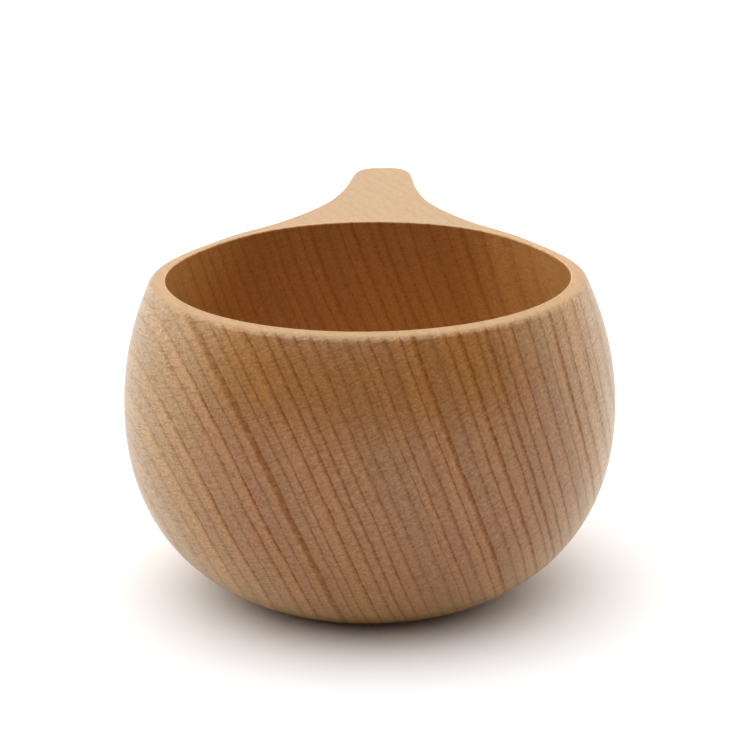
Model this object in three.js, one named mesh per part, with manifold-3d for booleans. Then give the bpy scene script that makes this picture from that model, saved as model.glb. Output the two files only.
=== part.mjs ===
// A kuksa: a small round-bellied wooden cup with a short thumb handle.
// It is two pieces: a turned bowl, and a handle that is coped to the bowl's wall and held in it by
// a stub tenon. Millimetres, +Z up. The origin is the centre of the base and the handle points
// along +Y.

import * as THREE from "three";
import { mergeVertices } from "three/addons/utils/BufferGeometryUtils.js";
import Module from "manifold-3d";

const wasm = await Module();
wasm.setup();

// Bowl, outside.
const RIM_HEIGHT = 62.5;
const BASE_RADIUS = 24;
const BELLY_RADIUS = 47.5;
const BELLY_HEIGHT = 36.3;
const RIM_RADIUS = 42.1;
const RIM_FALL = 0.3; // the rim's top face falls outwards by this much
const RIM_ROUNDING = 0.6; // radius of the rim's outer edge
const PINCH = 0.04; // the rim draws in by this share of its radius on either side of the handle
const PINCH_ANGLE = THREE.MathUtils.degToRad(58); // from the handle's direction
const PINCH_WIDTH = THREE.MathUtils.degToRad(24);
const PINCH_LOW = 38; // heights between which the pinch grows to its full depth
const PINCH_HIGH = 60;
const SHOULDER = RIM_HEIGHT - RIM_FALL - RIM_ROUNDING; // where the wall meets the rim's rounding

// Bowl, inside.
const MOUTH_RADIUS = 38.9;
const CAVITY_RADIUS = 41.9;
const CAVITY_WIDEST = 38.5; // height at which the cavity is widest
const FLOOR_THICKNESS = 8;

// The bowl's curves, each as four (radius, height) corners: base to belly, belly to rim, mouth to
// the cavity's widest point, and on to the middle of the floor.
const LOWER_WALL = [[BASE_RADIUS, 0], [27.6, 1.4], [BELLY_RADIUS, 8.7], [BELLY_RADIUS, BELLY_HEIGHT]];
const UPPER_WALL = [[BELLY_RADIUS, BELLY_HEIGHT], [BELLY_RADIUS, 46.1], [45.4, 54.6], [RIM_RADIUS, SHOULDER]];
const WIDEST = [CAVITY_RADIUS, CAVITY_WIDEST];
const MOUTH_WALL = [[MOUTH_RADIUS, RIM_HEIGHT], [40.3, 57], [CAVITY_RADIUS, 47.5], WIDEST];
const FLOOR_CURVE = [WIDEST, [CAVITY_RADIUS, 16], [33, FLOOR_THICKNESS], [0, FLOOR_THICKNESS]];

// Handle.
const TIP_REACH = 88.1; // from the bowl's axis to the tip
const NECK_REACH = 79; // where the flare ends and the rounded tip begins
const FLARE_START = 33; // well inside the wall, so that the cope cuts the whole root
const FLARE_HALF_WIDTH = 24;
const NECK_HALF_WIDTH = 6.5;
const TIP_HALF_WIDTH = 2.6; // half of the flat end, before its corners round off
const TIP_THICKNESS = 8.5;
const TOP = RIM_HEIGHT - RIM_FALL; // the handle's flat top face
const ROOT_BOTTOM = 38.5; // height at which the underside meets the wall
const WING_DEPTH = 4.4; // how deep the flare is at its full width
const KEEL_HALF_WIDTH = 8.5;
const EDGE_ROUNDING = 1.2;

// The handle's curves, each as the corners that follow its starting point: the flare and the tip as
// (half width, reach), the underside to the neck and on to the tip as (reach, height), and half of
// its section at the wall, from the wing's edge to the keel's bottom, as (half width, height).
const FLARE_CURVE = [[18.2, 45.4], [9.7, 54], [NECK_HALF_WIDTH, NECK_REACH]];
const TIP_CURVE = [[6.3, 82.6], [5.6, TIP_REACH], [TIP_HALF_WIDTH, TIP_REACH]];
const UNDERSIDE_START = [44, ROOT_BOTTOM];
const UNDERSIDE = [[49, ROOT_BOTTOM], [52, 50.4], [70, 52.2]];
const WING_CURVE = [[15, 55], [KEEL_HALF_WIDTH + 2, 52], [KEEL_HALF_WIDTH, 45]];
const KEEL_CURVE = [[KEEL_HALF_WIDTH - 1, 40], [KEEL_HALF_WIDTH - 4, ROOT_BOTTOM], [0, ROOT_BOTTOM]];

// Joint.
const JOINT_GAP = 0.35; // gap between the coped root and the wall
const TENON_GAP = 0.3;
const TENON_WIDTH = 12;
const TENON_HEIGHT = 9;
const TENON_MIDDLE = 50; // height of the tenon's centre line
const TENON_END = 42.8; // from the bowl's axis to the tenon's end
const TENON_ROOT = 52; // where the tenon is well inside the handle

const BOWL_SEGMENTS = 64;
const CURVE_STEPS = 10;
const REACH = 100; // half the span of a block that only trims, past the whole cup

const wood = {
  bowl: new THREE.MeshStandardMaterial({ color: 0xb0804f, roughness: 0.55, metalness: 0 }),
  handle: new THREE.MeshStandardMaterial({ color: 0xc29668, roughness: 0.55, metalness: 0 }),
};

// A three.js geometry as a manifold-3d solid.
function solid(geometry) {
  const bare = geometry.clone();
  bare.deleteAttribute("normal");
  bare.deleteAttribute("uv");
  const merged = mergeVertices(bare, 1e-4);
  return new wasm.Manifold(
    new wasm.Mesh({
      numProp: 3,
      vertProperties: merged.attributes.position.array,
      triVerts: new Uint32Array(merged.index.array),
    }),
  );
}

// A manifold-3d solid as a named mesh.
function meshOf(name, material, body) {
  const { vertProperties, triVerts } = body.getMesh();
  const geometry = new THREE.BufferGeometry();
  geometry.setAttribute("position", new THREE.BufferAttribute(vertProperties, 3));
  geometry.setIndex(new THREE.BufferAttribute(triVerts, 1));
  geometry.computeVertexNormals();
  const mesh = new THREE.Mesh(geometry, material);
  mesh.name = name;
  return mesh;
}

// The factor by which a point of the rim is drawn in towards the bowl's axis.
function pinch(x, y, z) {
  const angle = Math.abs(Math.atan2(x, y));
  const dip = Math.exp(-(((angle - PINCH_ANGLE) / PINCH_WIDTH) ** 2));
  return 1 - PINCH * dip * THREE.MathUtils.smoothstep(z, PINCH_LOW, PINCH_HIGH);
}

// A profile of (radius, height) points turned about the Z axis, with the rim's pinch.
function turned(points) {
  const geometry = new THREE.LatheGeometry(points, BOWL_SEGMENTS);
  geometry.rotateX(Math.PI / 2);
  const position = geometry.attributes.position;
  for (let i = 0; i < position.count; i++) {
    const [x, y, z] = [position.getX(i), position.getY(i), position.getZ(i)];
    const factor = pinch(x, y, z);
    position.setXYZ(i, x * factor, y * factor, z);
  }
  return geometry;
}

// The points of a cubic curve with the given corners, without its first point.
function curve(corners) {
  const [start, first, second, end] = corners.map(([x, y]) => new THREE.Vector2(x, y));
  return new THREE.CubicBezierCurve(start, first, second, end).getPoints(CURVE_STEPS).slice(1);
}

// The bowl's outer wall, from the edge of the base to the rim's rounding, moved out by a gap.
function outerWall(gap = 0) {
  const points = [new THREE.Vector2(BASE_RADIUS, 0), ...curve(LOWER_WALL), ...curve(UPPER_WALL)];
  return points.map((p) => new THREE.Vector2(p.x + gap, p.y));
}

// The rounded outer edge of the rim, from the wall to the top face.
function rimEdge() {
  return [1, 2, 3].map((step) => {
    const angle = (step / 3) * (Math.PI / 2);
    const inward = RIM_ROUNDING * (1 - Math.cos(angle));
    const drop = RIM_ROUNDING * (1 - Math.sin(angle));
    return new THREE.Vector2(RIM_RADIUS - inward, TOP - drop);
  });
}

// The cavity's wall, from the mouth down to the middle of the floor.
function cavityWall() {
  return [new THREE.Vector2(MOUTH_RADIUS, RIM_HEIGHT), ...curve(MOUTH_WALL), ...curve(FLOOR_CURVE)];
}

function block(width, depth, height, y, z) {
  const geometry = new THREE.BoxGeometry(width, depth, height);
  geometry.translate(0, y, z);
  return solid(geometry);
}

// The tenon's block, grown by a gap on every side but its root.
function tenonBlock(gap = 0) {
  const end = TENON_END - gap;
  const middle = (end + TENON_ROOT) / 2;
  return block(
    TENON_WIDTH + 2 * gap,
    TENON_ROOT - end,
    TENON_HEIGHT + 2 * gap,
    middle,
    TENON_MIDDLE,
  );
}

// The turned bowl with the mortise in its rear wall.
function bowl() {
  const profile = [new THREE.Vector2(0, 0), ...outerWall(), ...rimEdge(), ...cavityWall()];
  return solid(turned(profile)).subtract(tenonBlock(TENON_GAP));
}

// Adds to a shape the cubic curve that follows, on one side of its axis of symmetry.
function follow(shape, side, [first, second, end]) {
  shape.bezierCurveTo(side * first[0], first[1], side * second[0], second[1], side * end[0], end[1]);
}

// The handle seen from above: a flare that leaves the rim, a neck and a rounded tip.
function planOutline() {
  const [right, left] = [1, -1].map((side) => {
    const shape = new THREE.Shape();
    shape.moveTo(side * FLARE_HALF_WIDTH, FLARE_START);
    follow(shape, side, FLARE_CURVE);
    follow(shape, side, TIP_CURVE);
    return shape.getPoints(CURVE_STEPS);
  });
  return new THREE.Shape([...right, ...left.reverse()]);
}

// A geometry extruded along Z, turned so that its own X, Y and Z run along the given axes.
function facing(geometry, x, y, z) {
  const axes = [x, y, z].map((axis) => new THREE.Vector3(...axis));
  return geometry.applyMatrix4(new THREE.Matrix4().makeBasis(...axes));
}

// An outline extruded across a wide span, centred on it.
function wideExtrude(outline) {
  const geometry = new THREE.ExtrudeGeometry(outline, {
    depth: 2 * REACH,
    bevelEnabled: false,
    curveSegments: CURVE_STEPS,
  });
  return geometry.translate(0, 0, -REACH);
}

// The plan extruded downwards from the top face, with its top edge rounded.
function planBlock() {
  const height = TOP - ROOT_BOTTOM + 2 * EDGE_ROUNDING;
  const geometry = new THREE.ExtrudeGeometry(planOutline(), {
    depth: height,
    bevelThickness: EDGE_ROUNDING,
    bevelSize: EDGE_ROUNDING,
    bevelOffset: -EDGE_ROUNDING,
    bevelSegments: 3,
  });
  geometry.translate(0, 0, TOP - EDGE_ROUNDING - height);
  return solid(geometry);
}

// The handle seen from the side, extruded across its whole width: a flat top, a rounded tip and an
// underside that rises from the wall in a hollow curve.
function sideBlock() {
  const nose = TIP_THICKNESS / 2;
  const outline = new THREE.Shape();
  outline.moveTo(FLARE_START, ROOT_BOTTOM);
  outline.lineTo(...UNDERSIDE_START);
  outline.bezierCurveTo(...UNDERSIDE.flat());
  outline.lineTo(TIP_REACH - nose, TOP - TIP_THICKNESS);
  outline.absarc(TIP_REACH - nose, TOP - nose, nose, -Math.PI / 2, 0, false);
  outline.lineTo(TIP_REACH, TOP);
  outline.lineTo(FLARE_START, TOP);
  return solid(facing(wideExtrude(outline), [0, 1, 0], [0, 0, 1], [1, 0, 0]));
}

// The handle seen from the tip: thin wings at the top that draw in to a rounded keel.
function frontBlock() {
  const [left, right] = [-1, 1].map((side) => {
    const shape = new THREE.Shape();
    shape.moveTo(side * FLARE_HALF_WIDTH, TOP);
    shape.lineTo(side * FLARE_HALF_WIDTH, TOP - WING_DEPTH);
    follow(shape, side, WING_CURVE);
    follow(shape, side, KEEL_CURVE);
    return shape.getPoints(CURVE_STEPS);
  });
  const outline = new THREE.Shape([...left, ...right.reverse().slice(1)]);
  return solid(facing(wideExtrude(outline), [-1, 0, 0], [0, 0, 1], [0, 1, 0]));
}

// The space that the bowl takes, with the joint's gap, carried up past the rim.
function copeCutter() {
  const above = RIM_HEIGHT + EDGE_ROUNDING;
  const profile = [
    new THREE.Vector2(0, 0),
    ...outerWall(JOINT_GAP),
    new THREE.Vector2(RIM_RADIUS + JOINT_GAP, above),
    new THREE.Vector2(0, above),
  ];
  return solid(turned(profile));
}

function handle() {
  const blank = planBlock().intersect(sideBlock()).intersect(frontBlock());
  return blank.subtract(copeCutter()).add(tenonBlock());
}

const kuksa = new THREE.Group();
kuksa.name = "kuksa";
kuksa.add(meshOf("bowl", wood.bowl, bowl()));
kuksa.add(meshOf("handle", wood.handle, handle()));

export default kuksa;
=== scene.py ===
"""A kuksa: a small round-bellied beech cup with a short flared thumb handle.

The bowl and the handle are two pieces cut from one billet, so they share one solid wood grain, and
the handle's root lies on the bowl's wall with a stub tenon in the wall's mortise. Lengths in this
script are millimetres in the part's own frame until a mesh is made: +Z is up, the origin is the
centre of the base and the handle points along +Y.
"""

import math

import bpy
import numpy as np
from mathutils import Matrix, Vector


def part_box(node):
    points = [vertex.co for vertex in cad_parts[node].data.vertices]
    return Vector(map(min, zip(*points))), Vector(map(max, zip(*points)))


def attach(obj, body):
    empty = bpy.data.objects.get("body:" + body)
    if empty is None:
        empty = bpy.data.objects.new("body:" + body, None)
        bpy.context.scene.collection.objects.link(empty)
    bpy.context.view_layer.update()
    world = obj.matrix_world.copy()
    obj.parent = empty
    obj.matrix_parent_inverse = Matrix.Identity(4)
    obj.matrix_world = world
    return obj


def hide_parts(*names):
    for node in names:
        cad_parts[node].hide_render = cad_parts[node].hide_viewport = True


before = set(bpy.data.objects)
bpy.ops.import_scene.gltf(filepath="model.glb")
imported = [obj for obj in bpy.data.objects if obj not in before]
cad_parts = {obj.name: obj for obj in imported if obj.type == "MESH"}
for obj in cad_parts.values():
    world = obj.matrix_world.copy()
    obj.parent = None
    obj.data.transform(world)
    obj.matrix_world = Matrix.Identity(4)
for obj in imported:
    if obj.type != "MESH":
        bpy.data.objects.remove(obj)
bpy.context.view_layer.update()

METRES = 0.001
BOWL_HIGH = np.array(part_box("bowl")[1]) / METRES
HANDLE_HIGH = np.array(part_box("handle")[1]) / METRES

# Bowl.
RIM_HEIGHT = BOWL_HIGH[2]
BELLY_RADIUS = BOWL_HIGH[0]
BELLY_HEIGHT = 36.3
BASE_RADIUS = 24.0
BASE_ROUNDING = 0.9
BASE_INSET = 0.4  # how far inside the base's radius its rounding is centred
RIM_RADIUS = 42.1
SHOULDER = 61.6  # height at which the outer wall meets the rim's rounding
MOUTH_RADIUS = 38.9
MOUTH_ROUNDING = 0.35
CAVITY_RADIUS = 41.9
CAVITY_WIDEST = 38.5
FLOOR = 8.0
RIM_EDGE = 0.8  # rounding of the rim's outer edge
RIM_SLOPE = 0.3 / 2.6  # the rim's top face falls outwards
SLOPE_FADE = 1.2  # distance past the rim over which that fall dies out on the handle
PINCH = 0.04  # how far the rim draws in on either side of the handle, as a share of its radius
PINCH_ANGLE = math.radians(58)
PINCH_WIDTH = math.radians(24)
PINCH_LOW, PINCH_HIGH = 38.0, 60.0  # heights between which it sets in

# Handle.
TIP_REACH = HANDLE_HIGH[1] - 0.05  # just inside the CAD handle
TIP_BOW = 0.026  # how fast the tip's end curves back, per millimetre to the side
TIP_CORNER = 4.2
HANDLE_EDGE = 1.2  # rounding of the top face's edges
EDGE_START, EDGE_END = 48.0, 60.0  # reaches between which the rim's rounding becomes the handle's
KEEL_ROUNDING = 3.0
KEEL_WIDTH = 8.5
WING_THICKNESS = 4.4
BLEND = 5.0  # size of the hollow between the handle and the wall
SEAM_RADIUS = 41.2  # where the handle's top face takes over from the rim's
SEAM_FIELD = 0.8 * BLEND  # how far from the handle the hollow fades into the wall
NECK = 68.0  # where the root's loft ends and the straight neck begins
TIP_START = TIP_REACH - 6.2  # where the neck ends and the rounded tip begins

# Joint.
TENON_HALF_WIDTH = 6.0
TENON_LOW, TENON_HIGH = 45.5, 54.5
TENON_END = 42.8
TENON_GAP = 0.3
MORTISE_OVERSHOOT = 8.0  # how far the mortise's block reaches past the tenon's end
GLUE_DEPTH = 0.02  # how far the root's face is let into the wall

OUTER_WALL = (
    ((BASE_RADIUS, 0), (27.6, 1.4), (BELLY_RADIUS, 8.7), (BELLY_RADIUS, BELLY_HEIGHT)),
    ((BELLY_RADIUS, BELLY_HEIGHT), (BELLY_RADIUS, 46.1), (45.4, 54.6), (RIM_RADIUS, SHOULDER)),
)
CAVITY_WALL = (
    ((MOUTH_RADIUS, RIM_HEIGHT), (40.3, 57), (CAVITY_RADIUS, 47.5), (CAVITY_RADIUS, CAVITY_WIDEST)),
    ((CAVITY_RADIUS, CAVITY_WIDEST), (CAVITY_RADIUS, 16), (33, FLOOR), (0, FLOOR)),
)
PLAN = (  # half width against reach: level inside the bowl, the flare and the neck
    ((30, 20), (30, 24), (28.9, 28.4), (25.6, 32.8)),
    ((25.6, 32.8), (15.6, 46.1), (9.5, 54.6), (7.17, 75.4)),
)
KEEL = ((44, 38.5), (49, 38.5), (52, 50.4), (72, 52.4))  # reach against height

# The bowl's mesh: points round it, points along each curve of its profile, and the gaps left
# between the curves.
BOWL_SEGMENTS = 320
BASE_STEPS = 6
LOWER_STEPS = 64
UPPER_STEPS = 52
EDGE_STEPS = 16
FACE_STEPS = 8
LIP_STEPS = 7
MOUTH_STEPS = 44
CAVITY_STEPS = 80
BASE_GAP = 0.1
SHOULDER_GAP = 0.7
LIP_GAP = 0.2
RIM_EDGE_CENTRE = (40.9, 61.2)  # radius and height inside the rim's outer edge


# Curves and fields. A field is negative inside the wood and close to a distance near its surface.


def bezier(corners, t):
    a, b, c, d = (np.array(corner, float) for corner in corners)
    t = np.asarray(t, float)[..., None]
    s = 1 - t
    return s**3 * a + 3 * s * s * t * b + 3 * s * t * t * c + t**3 * d


def bezier_slope(corners, t):
    a, b, c, d = (np.array(corner, float) for corner in corners)
    t = np.asarray(t, float)[..., None]
    s = 1 - t
    return 3 * (s * s * (b - a) + 2 * s * t * (c - b) + t * t * (d - c))


class Track:
    """Curves that join end to end, read as one coordinate against the other. Past its ends the
    track goes on straight."""

    def __init__(self, curves, key):
        t = np.linspace(0, 1, 201)
        points = np.concatenate([bezier(curve, t) for curve in curves])
        tangents = np.concatenate([bezier_slope(curve, t) for curve in curves])
        keep = np.concatenate([[True], np.diff(points[:, key]) > 1e-6])
        self.along = points[keep, key]
        self.other = points[keep, 1 - key]
        self.slope = tangents[keep, 1 - key] / tangents[keep, key]

    def __call__(self, value):
        """The other coordinate where the first has this value, and the slope there."""
        last = len(self.along) - 2
        i = np.clip(np.searchsorted(self.along, value) - 1, 0, last)
        width = self.along[i + 1] - self.along[i]
        t = np.clip((value - self.along[i]) / width, 0, 1)
        a, b = self.other[i], self.other[i + 1]
        p, q = self.slope[i] * width, self.slope[i + 1] * width
        bend = (3 * (b - a) - 2 * p - q, 2 * (a - b) + p + q)
        point = a + t * (p + t * (bend[0] + t * bend[1]))
        slope = (p + t * (2 * bend[0] + 3 * t * bend[1])) / width
        return point + slope * (value - self.along[i] - t * width), slope


def smoothstep(low, high, value):
    t = np.clip((value - low) / (high - low), 0, 1)
    return t * t * (3 - 2 * t)


def round_max(a, b, radius):
    """Where both fields hold, with the edge between them rounded."""
    corner = np.hypot(np.maximum(a + radius, 0), np.maximum(b + radius, 0))
    return np.minimum(np.maximum(a, b), -radius) + corner


def soft_min(a, b, size):
    """Where either field holds, with a hollow of the given size between them."""
    near = np.maximum(size - np.abs(a - b), 0) / size
    return np.minimum(a, b) - near**3 * size / 6


def pinch(x, y, z):
    """The factor by which the rim's radius draws in on either side of the handle."""
    angle = np.abs(np.arctan2(x, y))
    dip = np.exp(-(((angle - PINCH_ANGLE) / PINCH_WIDTH) ** 2))
    return 1 - PINCH * dip * smoothstep(PINCH_LOW, PINCH_HIGH, z)


WALL_TRACK = Track(OUTER_WALL, 1)
PLAN_TRACK = Track(PLAN, 1)
KEEL_TRACK = Track([KEEL], 0)


def wall_field(x, y, z):
    radius, slope = WALL_TRACK(z)
    return (np.hypot(x, y) / pinch(x, y, z) - radius) / np.sqrt(1 + slope**2)


def top_height(x, y):
    """The rim's falling top face, which levels out on the handle."""
    radius = np.hypot(x, y) / pinch(x, y, RIM_HEIGHT)
    past = np.maximum(radius - SEAM_RADIUS, 0)
    seam = RIM_HEIGHT - RIM_SLOPE * (np.minimum(radius, SEAM_RADIUS) - MOUTH_RADIUS)
    return seam - RIM_SLOPE * SLOPE_FADE * (1 - np.exp(-past / SLOPE_FADE))


def keel_height(x, y):
    """The handle's underside, a keel that draws out into thin wings, and its steepness."""
    keel, rise = KEEL_TRACK(y)
    wing = RIM_HEIGHT - WING_THICKNESS
    swell = np.exp(-((x / KEEL_WIDTH) ** 2))
    across = (wing - keel) * swell * 2 * x / KEEL_WIDTH**2
    return wing - (wing - keel) * swell, np.hypot(across, rise * swell)


def handle_field(x, y, z):
    width, lean = PLAN_TRACK(y)
    side = (np.abs(x) - width) / np.sqrt(1 + lean**2)
    end = y - TIP_REACH + TIP_BOW * x**2
    outline = round_max(side, end, TIP_CORNER)
    keel, steepness = keel_height(x, y)
    return round_max(outline, (keel - z) / np.sqrt(1 + steepness**2), KEEL_ROUNDING)


def cup_field(x, y, z):
    """The bowl's outside and the handle together, under their common top face."""
    joined = soft_min(wall_field(x, y, z), handle_field(x, y, z), BLEND)
    edge = RIM_EDGE + (HANDLE_EDGE - RIM_EDGE) * smoothstep(EDGE_START, EDGE_END, y)
    return round_max(joined, z - top_height(x, y), edge)


def bowl_field(x, y, z):
    return round_max(wall_field(x, y, z), z - top_height(x, y), RIM_EDGE)


def gradient(field, points):
    nudge = 1e-3
    columns = []
    for axis in range(3):
        step = np.zeros(3)
        step[axis] = nudge
        columns.append((field(*(points + step).T) - field(*(points - step).T)) / (2 * nudge))
    return np.stack(columns, axis=1)


def settle(points, field, rounds=12):
    """The points moved onto the field's surface."""
    for _ in range(rounds):
        value = field(*points.T)
        if np.abs(value).max() < 1e-6:
            break
        direction = gradient(field, points)
        steepness = np.maximum((direction**2).sum(axis=1), 0.05)
        step = np.clip(value / steepness, -1.0, 1.0)
        points = points - direction * step[:, None]
    return points


# Meshes.


def mesh_object(name, points, faces):
    mesh = bpy.data.meshes.new(name)
    mesh.from_pydata((points * METRES).tolist(), [], faces)
    mesh.validate()
    mesh.shade_smooth()
    piece = bpy.data.objects.new(name, mesh)
    bpy.context.scene.collection.objects.link(piece)
    return piece


def strips(loops, count):
    """Quads between successive closed loops of count points, first loop first, facing outwards
    where the loops run anticlockwise seen from the last loop."""
    faces = []
    for base in range(0, (loops - 1) * count, count):
        for j in range(count):
            k = (j + 1) % count
            faces.append((base + j, base + k, base + count + k, base + count + j))
    return faces


def arc(centre, radius, first, last, steps):
    angles = np.radians(np.linspace(first, last, steps))
    return np.column_stack([centre[0] + radius * np.cos(angles), centre[1] + radius * np.sin(angles)])


def rim_rounding(angles):
    """(radius, height) points of the rim's outer edge at angles, in degrees, from straight out to
    straight up. They are found opposite the handle, where nothing pinches the rim."""
    turn = np.radians(angles)
    radius, height = RIM_EDGE_CENTRE
    guess = np.column_stack([0 * turn, -radius - np.cos(turn), height + np.sin(turn)])
    edge = settle(guess, bowl_field)
    return np.column_stack([-edge[:, 1], edge[:, 2]])


def bowl_profile():
    """(radius, height) points from the base's edge up the outside, over the rim and down to the
    middle of the floor. Small gaps are left between the curves, so that no two points meet."""
    base = arc((BASE_RADIUS - BASE_INSET, BASE_ROUNDING), BASE_ROUNDING, -90, -38, BASE_STEPS)
    lower = bezier(OUTER_WALL[0], np.linspace(0, 1, LOWER_STEPS))
    lower = lower[lower[:, 1] > base[-1, 1] + BASE_GAP]
    upper = bezier(OUTER_WALL[1], np.linspace(0, 1, UPPER_STEPS))[1:]
    upper = upper[upper[:, 1] < SHOULDER - SHOULDER_GAP]
    rounding = rim_rounding(np.linspace(-12, 96, EDGE_STEPS))
    corner = (MOUTH_RADIUS + MOUTH_ROUNDING, RIM_HEIGHT - MOUTH_ROUNDING)
    inner = arc(corner, MOUTH_ROUNDING, 90, 170, LIP_STEPS)
    mouth = bezier(CAVITY_WALL[0], np.linspace(0, 1, MOUTH_STEPS))
    mouth = mouth[mouth[:, 1] < corner[1] - LIP_GAP]
    across = np.linspace(0, 1, FACE_STEPS)[1:-1, None]
    face = rounding[-1] + (inner[0] - rounding[-1]) * across
    cavity = bezier(CAVITY_WALL[1], np.linspace(0, 1, CAVITY_STEPS))[1:-1]
    return np.concatenate([base, lower, upper, rounding, face, inner, mouth, cavity])


def turned_bowl():
    profile = bowl_profile()
    turns = np.linspace(0, 2 * math.pi, BOWL_SEGMENTS, endpoint=False)
    x = np.outer(profile[:, 0], np.cos(turns))
    y = np.outer(profile[:, 0], np.sin(turns))
    z = np.repeat(profile[:, 1:], BOWL_SEGMENTS, axis=1)
    factor = pinch(x, y, z)
    rings = np.stack([x * factor, y * factor, z], axis=-1).reshape(-1, 3)
    centres = np.array([[0, 0, 0], [0, 0, FLOOR]])
    points = np.concatenate([rings, centres])
    faces = strips(len(profile), BOWL_SEGMENTS)
    last = (len(profile) - 1) * BOWL_SEGMENTS
    for j in range(BOWL_SEGMENTS):
        k = (j + 1) % BOWL_SEGMENTS
        faces.append((k, j, len(rings)))
        faces.append((last + j, last + k, len(rings) + 1))
    return mesh_object("kuksa_bowl", points, faces)


def cut_mortise(bowl):
    """The pocket in the rear wall, a little larger than the tenon."""
    half, low, high = TENON_HALF_WIDTH + TENON_GAP, TENON_LOW - TENON_GAP, TENON_HIGH + TENON_GAP
    near, far = TENON_END - TENON_GAP, TENON_END + MORTISE_OVERSHOOT
    corners = [(x, y, z) for x in (-half, half) for y in (near, far) for z in (low, high)]
    sides = [(0, 1, 3, 2), (4, 6, 7, 5), (0, 4, 5, 1), (2, 3, 7, 6), (0, 2, 6, 4), (1, 5, 7, 3)]
    block = mesh_object("mortise_block", np.array(corners, float), sides)
    cut = bowl.modifiers.new("mortise", "BOOLEAN")
    cut.operation = "DIFFERENCE"
    cut.solver = "EXACT"
    cut.object = block
    bpy.context.view_layer.update()
    cut_mesh = bpy.data.meshes.new_from_object(bowl.evaluated_get(bpy.context.evaluated_depsgraph_get()))
    bowl.modifiers.clear()
    bowl.data = cut_mesh
    bpy.data.objects.remove(block)


# The handle's mesh is a stack of closed loops of COUNT points: the seam on the bowl, the loft to the
# neck, the neck, the rounded tip, and back at the seam the root's face and the tenon.

COUNT = 384
ROOT_LOOPS = 64
NECK_LOOPS = 22
TIP_LOOPS = 34
FACE_LOOPS = 14
RESPACINGS = 5
TRACE_STEPS = 1440
SKIRT_LOW = 32.0  # height at which the skirt starts, well under the root
SKIRT_STEPS = 600
SKIRT_EDGE_STEPS = 160
SEAM_CENTRE = 59.6  # height of the point from which the seam is traced on the wall
SEAM_STEP = 0.5  # step of that trace's first search
SEAM_LIMIT = 60.0
NECK_CENTRE = 57.6
NECK_LIMIT = 30.0
# The loft leaves the seam along the wall and reaches the neck straight along the handle.
INWARD = 0.3  # distance over which the wall's direction is taken
SEAM_PULL = 0.75  # as a share of the way across to the neck
SEAM_PULL_LEAST = 3.0
NECK_PULL = 0.45  # as a share of the way along to the seam
LOFT_CROWDING = 1.25  # over 1 puts more loops near the seam
TIP_CROWDING = 0.7  # under 1 gives the tip squarer corners


def skirt():
    """The bowl's outer profile behind the handle as (length, radius, height), with length 0 at
    SEAM_CENTRE and rising over the rim to the seam's radius."""
    up = np.linspace(SKIRT_LOW, SHOULDER - RIM_EDGE, SKIRT_STEPS)
    wall = np.column_stack([WALL_TRACK(up)[0], up])
    points = np.concatenate([wall, rim_rounding(np.linspace(0, 95, SKIRT_EDGE_STEPS))])
    length = np.concatenate([[0], np.cumsum(np.hypot(*np.diff(points, axis=0).T))])
    centre = np.interp(SEAM_CENTRE, points[:, 1], length)
    return length - centre, points[:, 0], points[:, 1]


SKIRT = skirt()


def on_bowl(u, v):
    """The point of the bowl's outside at a distance u round it from the handle and v up it."""
    length, radii, heights = SKIRT
    radius = np.interp(v, length, radii)
    z = np.interp(v, length, heights)
    angle = u / RIM_RADIUS
    x, y = radius * np.sin(angle), radius * np.cos(angle)
    factor = pinch(x, y, z)
    return np.column_stack([x * factor, y * factor, z])


def seam_reach(angles):
    """How far along each polar ray from the seam's centre the seam lies."""
    length, radii, _ = SKIRT
    top = np.interp(-SEAM_RADIUS, -radii[length > 0], length[length > 0])

    def outside(reach):
        u, v = reach * np.cos(angles), reach * np.sin(angles)
        return (v > top) | (handle_field(*on_bowl(u, v).T) > SEAM_FIELD)

    near = np.zeros(len(angles))
    found = np.zeros(len(angles), bool)
    for reach in np.arange(SEAM_STEP, SEAM_LIMIT, SEAM_STEP):
        found |= outside(np.full(len(angles), reach))
        near = np.where(found, near, reach)
    far = near + SEAM_STEP
    for _ in range(20):
        middle = (near + far) / 2
        past = outside(middle)
        near, far = np.where(past, near, middle), np.where(past, middle, far)
    return near


def evenly(points, values, closing, count):
    """A closed loop's values, one for each point, read at equal steps along the loop. The closing
    value is the one with which the loop comes back to its first point."""
    steps = np.linalg.norm(np.diff(points, axis=0, append=points[:1]), axis=1)
    lengths = np.concatenate([[0], np.cumsum(steps)])
    wanted = np.linspace(0, lengths[-1], count, endpoint=False)
    return np.interp(wanted, lengths, np.append(values, closing))


def respaced(loop):
    """The same closed loop with equal steps between its points, so that every corner gets some."""
    return np.column_stack([evenly(loop, axis, axis[0], len(loop)) for axis in loop.T])


def ray_section(angles, y, centre):
    """The handle's outline at one reach, traced from its centre by bisection."""
    near, far = np.zeros(len(angles)), np.full(len(angles), NECK_LIMIT)
    for _ in range(40):
        middle = (near + far) / 2
        x, z = middle * np.cos(angles), centre + middle * np.sin(angles)
        inside = cup_field(x, np.full(len(x), y), z) < 0
        near, far = np.where(inside, middle, near), np.where(inside, far, middle)
    return np.column_stack([near * np.cos(angles), np.full(len(angles), y), centre + near * np.sin(angles)])


def traced_seam(fine):
    """The seam on the bowl, and the directions along the wall from it towards its centre."""
    def at(angles, reach):
        return on_bowl(reach * np.cos(angles), reach * np.sin(angles))

    angles = evenly(at(fine, seam_reach(fine)), fine, 1.5 * math.pi, COUNT)
    reach = seam_reach(angles)
    seam = at(angles, reach)
    inward = at(angles, reach - INWARD) - seam
    return seam, inward / np.linalg.norm(inward, axis=1)[:, None]


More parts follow.
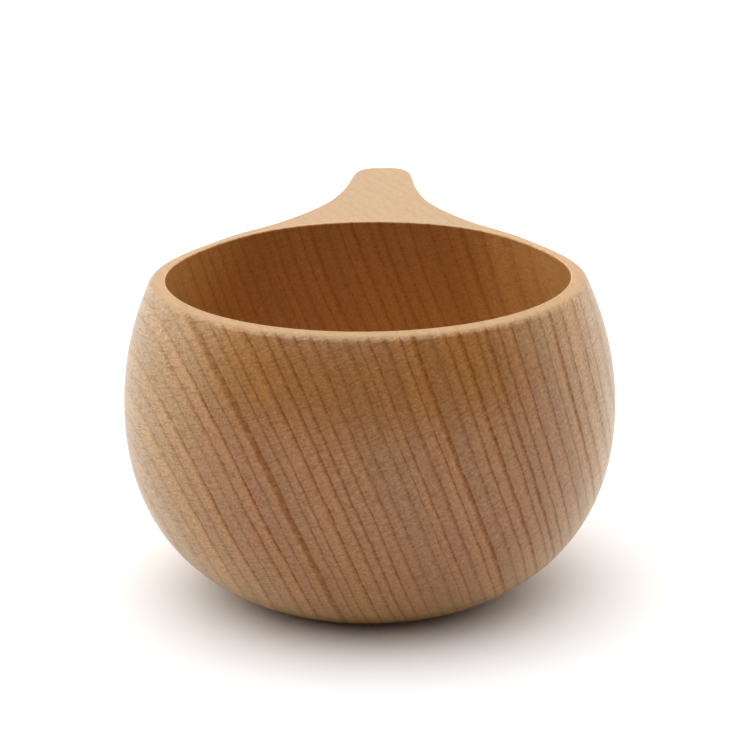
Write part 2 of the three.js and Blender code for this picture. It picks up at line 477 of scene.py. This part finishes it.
def root_loft(seam, inward, neck):
    """Loops on the Bezier curves that join each point of the seam to one of the neck."""
    spread = np.linalg.norm((seam - neck)[:, [0, 2]], axis=1)
    span = neck[:, 1] - seam[:, 1]
    first = seam + inward * np.maximum(SEAM_PULL * spread, SEAM_PULL_LEAST)[:, None]
    second = neck - np.outer(NECK_PULL * span, [0, 1, 0])
    loops = []
    for t in np.linspace(0, 1, ROOT_LOOPS) ** LOFT_CROWDING:
        s = 1 - t
        loops.append(s**3 * seam + 3 * s * s * t * first + 3 * s * t**2 * second + t**3 * neck)
    return loops


def tip_loops(last):
    """Loops from the last one of the neck almost to a point at the middle of the tip."""
    centre = np.array([0, TIP_START, NECK_CENTRE])
    loops = []
    for turn in np.radians(np.linspace(0, 90, TIP_LOOPS))[1:-1]:
        loop = centre + (last - centre) * math.cos(turn) ** TIP_CROWDING
        loop[:, 1] = TIP_START + (TIP_REACH - TIP_START) * math.sin(turn) ** TIP_CROWDING
        loops.append(loop)
    return loops


def handle_loops():
    """The visible loops from the seam to the tip, and the seam itself."""
    fine = np.linspace(-math.pi / 2, 1.5 * math.pi, TRACE_STEPS, endpoint=False)
    seam, inward = traced_seam(fine)
    section = ray_section(fine, NECK, NECK_CENTRE)
    neck_angles = evenly(section, fine, 1.5 * math.pi, COUNT)
    loops = root_loft(seam, inward, ray_section(neck_angles, NECK, NECK_CENTRE))
    for y in np.linspace(NECK, TIP_START, NECK_LOOPS)[1:]:
        loops.append(ray_section(neck_angles, y, NECK_CENTRE))
    loops += tip_loops(loops[-1])

    stack = settle(np.concatenate(loops), cup_field).reshape(-1, COUNT, 3)
    for _ in range(RESPACINGS):
        spaced = np.concatenate([stack[:1]] + [respaced(loop)[None] for loop in stack[1:]])
        stack = settle(spaced.reshape(-1, 3), cup_field).reshape(-1, COUNT, 3)
    return list(stack), seam


def tenon_outline(seam):
    """The tenon's rectangle, one point for each point of the seam."""
    angles = np.arctan2(seam[:, 2] - SEAM_CENTRE, seam[:, 0])
    half = TENON_HALF_WIDTH
    rise = (TENON_HIGH - TENON_LOW) / 2
    scale = 1 / np.maximum(np.abs(np.cos(angles)) / half, np.abs(np.sin(angles)) / rise)
    middle = (TENON_HIGH + TENON_LOW) / 2
    return np.column_stack([scale * np.cos(angles), middle + scale * np.sin(angles)])


def on_wall(x, z):
    """The point of the bowl's outside behind (x, z), let in by the glue's depth."""
    length, radii, heights = SKIRT
    radius = np.interp(z, heights, radii) - GLUE_DEPTH
    y = np.sqrt(radius**2 - x**2)
    for _ in range(4):
        y = np.sqrt(np.maximum((radius * pinch(x, y, z)) ** 2 - x**2, 1))
    return np.column_stack([x, y, z])


def root_loops(seam):
    """The hidden face on the bowl's wall and the tenon, from the seam inwards."""
    outline = tenon_outline(seam)
    loops = []
    for share in np.linspace(0, 1, FACE_LOOPS):
        flat = seam[:, [0, 2]] * (1 - share) + outline * share
        top = SKIRT[2].max() - 1e-6
        loops.append(on_wall(flat[:, 0], np.minimum(flat[:, 1], top)))
    start = loops[-1]
    for y in np.linspace(start[:, 1].min(), TENON_END, 4)[1:]:
        loops.append(np.column_stack([outline[:, 0], np.full(COUNT, y), outline[:, 1]]))
    end = loops[-1]
    middle = np.array([0, TENON_END, (TENON_HIGH + TENON_LOW) / 2])
    for share in (0.66, 0.33):
        loops.append(middle + (end - middle) * share)
    return loops, middle


def carved_handle():
    visible, seam = handle_loops()
    hidden, tenon_middle = root_loops(seam)
    stack = hidden[::-1] + visible
    points = np.concatenate(stack + [np.array([tenon_middle, [0, TIP_REACH, NECK_CENTRE]])])
    points[-1] = settle(points[-1:], cup_field)[0]
    faces = [face[::-1] for face in strips(len(stack), COUNT)]
    last = (len(stack) - 1) * COUNT
    pole = len(stack) * COUNT
    for j in range(COUNT):
        k = (j + 1) % COUNT
        faces.append((j, k, pole))
        faces.append((last + k, last + j, pole + 1))
    handle = mesh_object("kuksa_handle", points, faces)
    smooth_normals(handle, len(hidden) * COUNT, pole)
    return handle


def smooth_normals(handle, first_visible, last_visible):
    """The visible surface takes its shading from the field, so that it runs on into the bowl."""
    mesh = handle.data
    points = np.array([vertex.co for vertex in mesh.vertices]) / METRES
    normals = gradient(cup_field, points)
    normals /= np.linalg.norm(normals, axis=1)[:, None]
    loops = np.zeros((len(mesh.loops), 3))
    for polygon in mesh.polygons:
        corners = list(polygon.vertices)
        if all(corner >= first_visible and corner != last_visible for corner in corners):
            for loop, corner in zip(polygon.loop_indices, corners):
                loops[loop] = normals[corner]
    mesh.normals_split_custom_set(loops.tolist())


# Camera, light and floor.

HANDLE_YAW = math.radians(2.3)  # the handle points a little to the camera's right
CAMERA_DISTANCE = 568.0
CAMERA_HEIGHT = 220.7
AIM_HEIGHT = 42.02
AIM_SIDE = 1.07
CAMERA_ROLL = math.radians(-0.642)
LENS = 147.8

# Strength of the light from each side of the studio. Between the limits it fades: in y for the
# walls, from the front to the sides, and in the cosine to the middle of the light from above.
DIM_FRONT = 0.06
BRIGHT_SIDES = 1.5
SIDE_LIMITS = (-0.44, 0.12)
BRIGHT_TOP = 2.3
TOP_LIMITS = (0.52, 0.97)
OVERHEAD = Vector((-0.15, -0.15, 1.0)).normalized()
LEFT_LEAN = 0.10  # how much stronger the light is on the left
BACKDROP = 1.0  # brightness of the pale background that the camera sees
FLOOR_SIDE = 4.0  # half the floor's width, in metres
FLOOR_COLOUR = (0.95, 0.95, 0.95, 1)


def add_camera():
    cosine, sine = math.cos(HANDLE_YAW), math.sin(HANDLE_YAW)
    place = Vector((CAMERA_DISTANCE * sine, -CAMERA_DISTANCE * cosine, CAMERA_HEIGHT))
    aim = Vector((AIM_SIDE * cosine, AIM_SIDE * sine, AIM_HEIGHT))
    camera = bpy.data.objects.new("camera", bpy.data.cameras.new("camera"))
    bpy.context.scene.collection.objects.link(camera)
    look = (aim - place).to_track_quat("-Z", "Y").to_matrix().to_4x4()
    camera.matrix_world = Matrix.Translation(place * METRES) @ look @ Matrix.Rotation(CAMERA_ROLL, 4, "Z")
    camera.data.lens = LENS
    camera.data.sensor_width = 36.0
    camera.data.clip_start = 0.05
    camera.data.clip_end = 50.0
    bpy.context.scene.camera = camera


class Graph:
    """Shorthand for building a node tree. Values are numbers, vectors or other nodes' sockets."""

    def __init__(self, tree):
        self.tree = tree

    def node(self, kind, *values, **settings):
        node = self.tree.nodes.new(kind)
        for name, value in settings.items():
            setattr(node, name, value)
        for socket, value in zip([s for s in node.inputs if s.enabled], values):
            self.feed(socket, value)
        return node

    def feed(self, socket, value):
        if isinstance(value, bpy.types.NodeSocket):
            self.tree.links.new(value, socket)
        elif value is not None:
            socket.default_value = value

    def math(self, operation, *values):
        return self.node("ShaderNodeMath", *values, operation=operation).outputs[0]

    def vector(self, operation, *values):
        node = self.node("ShaderNodeVectorMath", *values, operation=operation)
        return node.outputs["Value" if operation in ("DOT_PRODUCT", "LENGTH") else "Vector"]

    def spread(self, value, low, high, to_low=0.0, to_high=1.0, smooth=True):
        kind = "SMOOTHSTEP" if smooth else "LINEAR"
        node = self.node("ShaderNodeMapRange", value, low, high, to_low, to_high, interpolation_type=kind)
        return node.outputs[0]

    def noise(self, vector, detail=2.0, roughness=0.5):
        node = self.node("ShaderNodeTexNoise", noise_dimensions="3D")
        self.feed(node.inputs["Vector"], vector)
        self.feed(node.inputs["Scale"], 1.0)
        self.feed(node.inputs["Detail"], detail)
        self.feed(node.inputs["Roughness"], roughness)
        return node.outputs[0]

    def noise_along(self, distance, frequency):
        node = self.node("ShaderNodeTexNoise", noise_dimensions="1D")
        self.feed(node.inputs["W"], self.math("MULTIPLY", distance, frequency))
        self.feed(node.inputs["Scale"], 1.0)
        return node.outputs[0]

    def mix(self, factor, first, second, blend="MIX"):
        node = self.node("ShaderNodeMix", data_type="RGBA", blend_type=blend)
        self.feed(node.inputs["Factor"], factor)
        colours = [s for s in node.inputs if s.enabled and s.type == "RGBA"]
        self.feed(colours[0], first)
        self.feed(colours[1], second)
        return [s for s in node.outputs if s.enabled][0]


def linear(red, green, blue):
    """An sRGB colour from 0 to 255 as a linear colour."""
    def decode(value):
        value /= 255
        return value / 12.92 if value <= 0.04045 else ((value + 0.055) / 1.055) ** 2.4
    return (decode(red), decode(green), decode(blue), 1.0)


def add_floor():
    mesh = bpy.data.meshes.new("floor")
    corners = [(-1, -1), (1, -1), (1, 1), (-1, 1)]
    mesh.from_pydata([(FLOOR_SIDE * x, FLOOR_SIDE * y, 0) for x, y in corners], [], [(0, 1, 2, 3)])
    floor = bpy.data.objects.new("floor", mesh)
    bpy.context.scene.collection.objects.link(floor)
    material = bpy.data.materials.new("pale_floor")
    material.use_nodes = True
    surface = material.node_tree.nodes["Principled BSDF"]
    surface.inputs["Base Color"].default_value = FLOOR_COLOUR
    surface.inputs["Roughness"].default_value = 0.9
    surface.inputs["Specular IOR Level"].default_value = 0.1
    mesh.materials.append(material)


def add_light():
    """Soft light from a pale studio: bright above, behind and at both sides, and dim in front."""
    world = bpy.data.worlds.new("studio")
    bpy.context.scene.world = world
    world.use_nodes = True
    graph = Graph(world.node_tree)
    background = world.node_tree.nodes["Background"]
    direction = graph.node("ShaderNodeTexCoord").outputs["Generated"]
    x, y, z = graph.node("ShaderNodeSeparateXYZ", direction).outputs
    # A little over 1 keeps the level part above zero straight up and down.
    level = graph.math("SQRT", graph.math("SUBTRACT", 1.0001, graph.math("MULTIPLY", z, z)))
    behind = graph.math("DIVIDE", y, level)
    around = graph.spread(behind, *SIDE_LIMITS, DIM_FRONT, BRIGHT_SIDES)
    overhead = graph.vector("DOT_PRODUCT", direction, tuple(OVERHEAD))
    top = graph.spread(overhead, *TOP_LIMITS, 0.0, BRIGHT_TOP)
    light = graph.math("MULTIPLY", graph.math("MAXIMUM", around, top),
                       graph.math("MULTIPLY_ADD", x, -LEFT_LEAN, 1.0))
    seen = graph.node("ShaderNodeLightPath").outputs["Is Camera Ray"]
    strength = graph.node("ShaderNodeMix", data_type="FLOAT")
    graph.feed(strength.inputs[0], seen)
    graph.feed(strength.inputs[2], light)
    graph.feed(strength.inputs[3], BACKDROP)
    graph.feed(background.inputs["Strength"], strength.outputs[0])
    background.inputs["Color"].default_value = (1, 1, 1, 1)


# Wood. The grain is a solid texture in the part's frame, so it runs from the bowl into the handle.

GRAIN_CENTRE = (0.0, 0.0, 35.0)
RING_SPACING = 2.62
RING_SLOPE = (0.990, 0.279, 0.407)  # how fast the distance across the rings grows at the centre
# How the rings bend: the second-order terms of that distance, over the belly's radius.
RING_BENDS = {"XX": 0.0115, "YY": 0.0475, "ZZ": -0.068, "XY": -0.052, "XZ": -0.130, "YZ": -0.008}
RADIAL = Vector(RING_SLOPE).normalized()
FIBRE = Vector((-0.16, 0.99, 0.0)).normalized()
TANGENTIAL = RADIAL.cross(FIBRE).normalized()

# The rings waver: each noise has a frequency per millimetre and an amplitude in millimetres.
WAVER = (0.03, 1.6)
TREMOR = (0.25, 0.6)
SPACING_NOISE = (0.17, 1.5)  # frequency along the rings' distance, amplitude in rings
BAND_FREQUENCY = 0.11

# Across one ring, from 0 to 1, a pale stripe comes first. Late wood then darkens slowly and ends
# sharply. Where a line is broken, or its ring is a faint one, it is only as deep as given here.
PALE_RISE = (0.2, 0.5)
PALE_FALL = (0.5, 0.72)
LATE_RISE = (0.58, 0.92)
LATE_FALL = (0.93, 1.0)
LATE_SHARPNESS = 1.6
FAINTEST_LINE = 0.45
BROKEN_LINE = 0.5

# Sizes of the figure's features in millimetres: along the radius, along the ring, along the fibre.
# The frequencies are per millimetre.
LINE_BREAK_SIZE = (1.2, 1.1, 9.0)
RAY_SIZE = (2.2, 0.36, 2.2)
FLECK_SIZE = (1.1, 0.32, 1.9)
PORE_SIZE = (0.34, 0.34, 2.4)
SPECKLE_FREQUENCY = 1.7
PATCH_FREQUENCY = (0.055, 0.03, 0.055)

# Values of each noise between which its feature sets in.
LINE_BREAK_LIMITS = (0.28, 0.60)
RAY_LIMITS = (0.51, 0.63)
FLECK_LIMITS = (0.64, 0.74)
BAND_LIMITS = (0.3, 0.7)
PATCH_LIMITS = (0.35, 0.65)

# Where on the cup a look sets in. End grain, and the depth of lines and dashes with it, goes by the
# squared cosine between the surface's normal and the fibres, and the flat top by how far the normal
# points up. The cavity's wall goes by how far the normal points away from the axis, times the
# distance from the axis, which is negative there. The cavity's floor goes by radius and height.
END_GRAIN_LIMITS = (0.05, 0.75)
LINE_DEPTH_LIMITS = (0.0, 0.5)
DASH_DEPTH_LIMITS = (0.1, 0.6)
FLAT_TOP_LIMITS = (0.75, 0.97)
CAVITY_WALL_LIMITS = (-2.0, -12.0)
CAVITY_FLOOR_RADII = (32.0, 26.0)
CAVITY_FLOOR_HEIGHTS = (4.0, 7.0)

# How strongly each feature colours the wood.
SIDE_GRAIN_LINE = 0.45  # against 1 on end grain
SIDE_GRAIN_DASH = 0.58
END_GRAIN_DASH = 0.34
FLECK_DEPTH = 0.6
PORE_DEPTH = 0.12
SPECKLE_DEPTH = 0.25
PATCH_DEPTH = 0.5
RING_SHADES = (0.92, 1.07)
FADED_ON_TOP = 0.75  # share of the figure that sanding takes away
FADED_INSIDE = 0.4

# Colours as the light would find them on a flat, dull surface, in sRGB from 0 to 255.
SIDE_GRAIN = (171, 129, 72)
END_GRAIN = (144, 92, 39)
# Factors on those colours, linear.
# Painted light in the cavity: it brightens the colour of the inside.
INSIDE_PAINTED_LIGHT = (1.45, 1.5, 1.7, 1)
# Painted top light: it brightens the colour of faces that point up.
TOP_PAINTED_LIGHT = (1.06, 1.05, 1.10, 1)
LATE_WOOD = (0.65, 0.49, 0.28, 1)
EARLY_WOOD = (1.12, 1.14, 1.16, 1)
RAY = (0.66, 0.56, 0.40, 1)
OLIVE = (0.99, 1.00, 0.94, 1)
PINK = (1.02, 0.99, 1.02, 1)
GREYISH = (0.95, 1.01, 1.10, 1)

# Gloss and relief, each with what a feature adds to it.
ROUGHNESS = 0.31
PORE_ROUGHNESS = 0.2
LINE_ROUGHNESS = 0.08
SANDED_ROUGHNESS = 0.14
GLOSS = 0.54
LINE_GLOSS = -0.44
DASH_GLOSS = -0.30
OILED_IOR = 1.6
RELIEF_STRENGTH = 0.4
RELIEF_DEPTH = 0.00007  # in metres
PORE_RELIEF = 0.9
LINE_RELIEF = -0.7
DASH_RELIEF = -0.6
SPECKLE_RELIEF = 0.5


def ring_distance(graph, point):
    """Distance across the growth rings, which bend gently: a quadratic field of the position."""
    axes = graph.node("ShaderNodeSeparateXYZ", point).outputs
    total = graph.vector("DOT_PRODUCT", point, RING_SLOPE)
    for (first, second), bend in RING_BENDS.items():
        product = graph.math("MULTIPLY", axes[first], axes[second])
        total = graph.math("MULTIPLY_ADD", product, bend / BELLY_RADIUS, total)
    return total


def stretched(graph, point, radial, tangential, fibre):
    """The position in grain axes, divided by a feature's size along each."""
    parts = [graph.vector("DOT_PRODUCT", point, tuple(axis / size))
             for axis, size in ((RADIAL, radial), (TANGENTIAL, tangential), (FIBRE, fibre))]
    return graph.node("ShaderNodeCombineXYZ", *parts).outputs[0]


def around_one(graph, value, depth):
    """A noise value from 0.3 to 0.7 as a factor that lies this far to either side of one."""
    return graph.spread(value, 0.3, 0.7, 1 - depth, 1 + depth, smooth=False)


def shifted(graph, value, noise, amplitude):
    """The value moved by the noise, which lies round one half."""
    return graph.math("MULTIPLY_ADD", graph.math("SUBTRACT", noise, 0.5), amplitude, value)


def growth_rings(graph, point):
    """Late wood's dark lines, the pale stripes beside them, each ring's own random number, and a
    slow band along the rings."""
    rho = ring_distance(graph, point)
    for frequency, amplitude in (WAVER, TREMOR):
        noise = graph.noise(graph.vector("MULTIPLY", point, (frequency,) * 3))
        rho = shifted(graph, rho, noise, amplitude)
    frequency, amplitude = SPACING_NOISE
    count = graph.math("DIVIDE", rho, RING_SPACING)
    count = shifted(graph, count, graph.noise_along(rho, frequency), amplitude)
    ring = graph.math("FLOOR", count)
    phase = graph.math("FRACT", count)
    chance = graph.node("ShaderNodeTexWhiteNoise", noise_dimensions="1D")
    graph.feed(chance.inputs["W"], ring)
    chance = chance.outputs["Value"]

    rise = graph.math("POWER", graph.spread(phase, *LATE_RISE), LATE_SHARPNESS)
    line = graph.math("MULTIPLY", rise, graph.spread(phase, *LATE_FALL, 1.0, 0.0))
    strength = graph.spread(chance, 0.0, 1.0, FAINTEST_LINE, 1.0, smooth=False)
    line = graph.math("MULTIPLY", line, strength)
    breaks = graph.noise(stretched(graph, point, *LINE_BREAK_SIZE), detail=3.0, roughness=0.6)
    line = graph.math("MULTIPLY", line, graph.spread(breaks, *LINE_BREAK_LIMITS, BROKEN_LINE, 1.0))
    pale = graph.math("MULTIPLY", graph.spread(phase, *PALE_RISE),
                      graph.spread(phase, *PALE_FALL, 1.0, 0.0))
    return line, pale, chance, graph.noise_along(rho, BAND_FREQUENCY)


def inside_mask(graph, point, normal):
    """One on the cavity's wall and floor, and zero elsewhere."""
    across = graph.vector("MULTIPLY", point, (1, 1, 0))
    inward = graph.spread(graph.vector("DOT_PRODUCT", normal, across), *CAVITY_WALL_LIMITS)
    height = graph.node("ShaderNodeSeparateXYZ", point).outputs[2]
    height = graph.math("ADD", height, GRAIN_CENTRE[2])
    bottom = graph.spread(graph.vector("LENGTH", across), *CAVITY_FLOOR_RADII)
    bottom = graph.math("MULTIPLY", bottom, graph.spread(height, *CAVITY_FLOOR_HEIGHTS))
    return graph.math("MAXIMUM", inward, bottom)


def wood_colour(graph, oiled, inside, upward, band, patch):
    """The colour under the figure, with broad bands along the rings, from olive to pink. Painted light
    brightens the cavity and the flat top.
    """
    colour = graph.mix(oiled, linear(*SIDE_GRAIN), linear(*END_GRAIN))
    colour = graph.mix(inside, colour, INSIDE_PAINTED_LIGHT, "MULTIPLY")
    colour = graph.mix(upward, colour, TOP_PAINTED_LIGHT, "MULTIPLY")
    tint = graph.mix(graph.spread(band, *BAND_LIMITS), OLIVE, PINK)
    tint = graph.mix(graph.spread(patch, *PATCH_LIMITS, 0.0, PATCH_DEPTH), tint, GREYISH)
    return graph.mix(1.0, colour, tint, "MULTIPLY")


def beech():
    material = bpy.data.materials.new("oiled_beech")
    material.use_nodes = True
    graph = Graph(material.node_tree)
    surface = material.node_tree.nodes["Principled BSDF"]
    place = graph.node("ShaderNodeTexCoord").outputs["Object"]
    to_millimetres = (1 / METRES,) * 3
    point = graph.vector("MULTIPLY_ADD", place, to_millimetres, tuple(-c for c in GRAIN_CENTRE))
    normal = graph.node("ShaderNodeTexCoord").outputs["Normal"]
    line, pale, chance, band = growth_rings(graph, point)

    # End grain, where the surface cuts across the fibres, takes up more oil and is darker. The flat
    # top of the rim and handle is sanded smooth and shows the figure only faintly; its colour is
    # brightened as painted top light. The inside's colour is brightened as painted light in the
    # cavity, and it shows the figure more faintly too.
    end_grain = graph.math("POWER", graph.vector("DOT_PRODUCT", normal, tuple(FIBRE)), 2.0)
    oiled = graph.spread(end_grain, *END_GRAIN_LIMITS)
    upward = graph.spread(graph.node("ShaderNodeSeparateXYZ", normal).outputs[2], *FLAT_TOP_LIMITS)
    inside = inside_mask(graph, point, normal)
    faint = graph.math("MAXIMUM", graph.math("MULTIPLY", upward, FADED_ON_TOP),
                       graph.math("MULTIPLY", inside, FADED_INSIDE))
    figure = graph.math("SUBTRACT", 1.0, faint)
    ring_depth = graph.spread(end_grain, *LINE_DEPTH_LIMITS, SIDE_GRAIN_LINE, 1.0)
    ring_depth = graph.math("MULTIPLY", figure, ring_depth)
    line = graph.math("MULTIPLY", line, ring_depth)
    pale = graph.math("MULTIPLY", pale, ring_depth)

    # Rays: thin sheets that run across the rings, seen as a hatch or as short dashes.
    rays = graph.noise(stretched(graph, point, *RAY_SIZE))
    dashes = graph.math("MULTIPLY", graph.spread(rays, *RAY_LIMITS), figure)
    dash_depth = graph.spread(end_grain, *DASH_DEPTH_LIMITS, SIDE_GRAIN_DASH, END_GRAIN_DASH)
    deep_dashes = graph.math("MULTIPLY", dashes, dash_depth)
    fleck = graph.noise(stretched(graph, point, *FLECK_SIZE), detail=1.0)
    fleck = graph.math("MULTIPLY", graph.spread(fleck, *FLECK_LIMITS), figure)
    pores = graph.noise(stretched(graph, point, *PORE_SIZE), roughness=0.7)
    speckle = graph.vector("MULTIPLY", point, (SPECKLE_FREQUENCY,) * 3)
    speckle = graph.noise(speckle, detail=3.0, roughness=0.7)
    mottle = around_one(graph, speckle, SPECKLE_DEPTH)

    patch = graph.noise(graph.vector("MULTIPLY", point, PATCH_FREQUENCY), detail=3.0)
    colour = wood_colour(graph, oiled, inside, upward, band, patch)
    colour = graph.mix(line, colour, LATE_WOOD, "MULTIPLY")
    colour = graph.mix(pale, colour, EARLY_WOOD, "MULTIPLY")
    colour = graph.mix(deep_dashes, colour, RAY, "MULTIPLY")
    colour = graph.mix(graph.math("MULTIPLY", fleck, FLECK_DEPTH), colour, RAY, "MULTIPLY")
    shade = graph.math("MULTIPLY", around_one(graph, pores, PORE_DEPTH), mottle)
    shade = graph.math("MULTIPLY", shade, graph.spread(chance, 0.0, 1.0, *RING_SHADES, smooth=False))
    shade = graph.node("ShaderNodeCombineXYZ", shade, shade, shade).outputs[0]
    colour = graph.mix(figure, colour, shade, "MULTIPLY")
    graph.feed(surface.inputs["Base Color"], colour)

    # The sanded top is duller, and so is the figure.
    roughness = shifted(graph, ROUGHNESS, pores, PORE_ROUGHNESS)
    roughness = graph.math("MULTIPLY_ADD", line, LINE_ROUGHNESS, roughness)
    roughness = graph.math("MULTIPLY_ADD", upward, SANDED_ROUGHNESS, roughness)
    graph.feed(surface.inputs["Roughness"], roughness)
    gloss = graph.math("MULTIPLY_ADD", line, LINE_GLOSS, GLOSS)
    gloss = graph.math("MULTIPLY_ADD", deep_dashes, DASH_GLOSS, gloss)
    graph.feed(surface.inputs["Specular IOR Level"], graph.math("MULTIPLY", gloss, mottle))
    surface.inputs["IOR"].default_value = OILED_IOR

    relief = graph.math("MULTIPLY_ADD", line, LINE_RELIEF, graph.math("MULTIPLY", pores, PORE_RELIEF))
    relief = graph.math("MULTIPLY_ADD", dashes, DASH_RELIEF, relief)
    relief = graph.math("MULTIPLY_ADD", speckle, SPECKLE_RELIEF, relief)
    bump = graph.node("ShaderNodeBump")
    bump.inputs["Strength"].default_value = RELIEF_STRENGTH
    bump.inputs["Distance"].default_value = RELIEF_DEPTH
    graph.feed(bump.inputs["Height"], relief)
    graph.feed(surface.inputs["Normal"], bump.outputs[0])
    return material


def finish_piece(piece, material, node):
    piece.data.materials.clear()
    piece.data.materials.append(material)
    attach(piece, "root")
    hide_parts(node)


add_camera()
add_light()
add_floor()
bpy.context.scene.view_settings.view_transform = "Standard"

wood = beech()
bowl = turned_bowl()
cut_mortise(bowl)
finish_piece(bowl, wood, "bowl")
finish_piece(carved_handle(), wood, "handle")
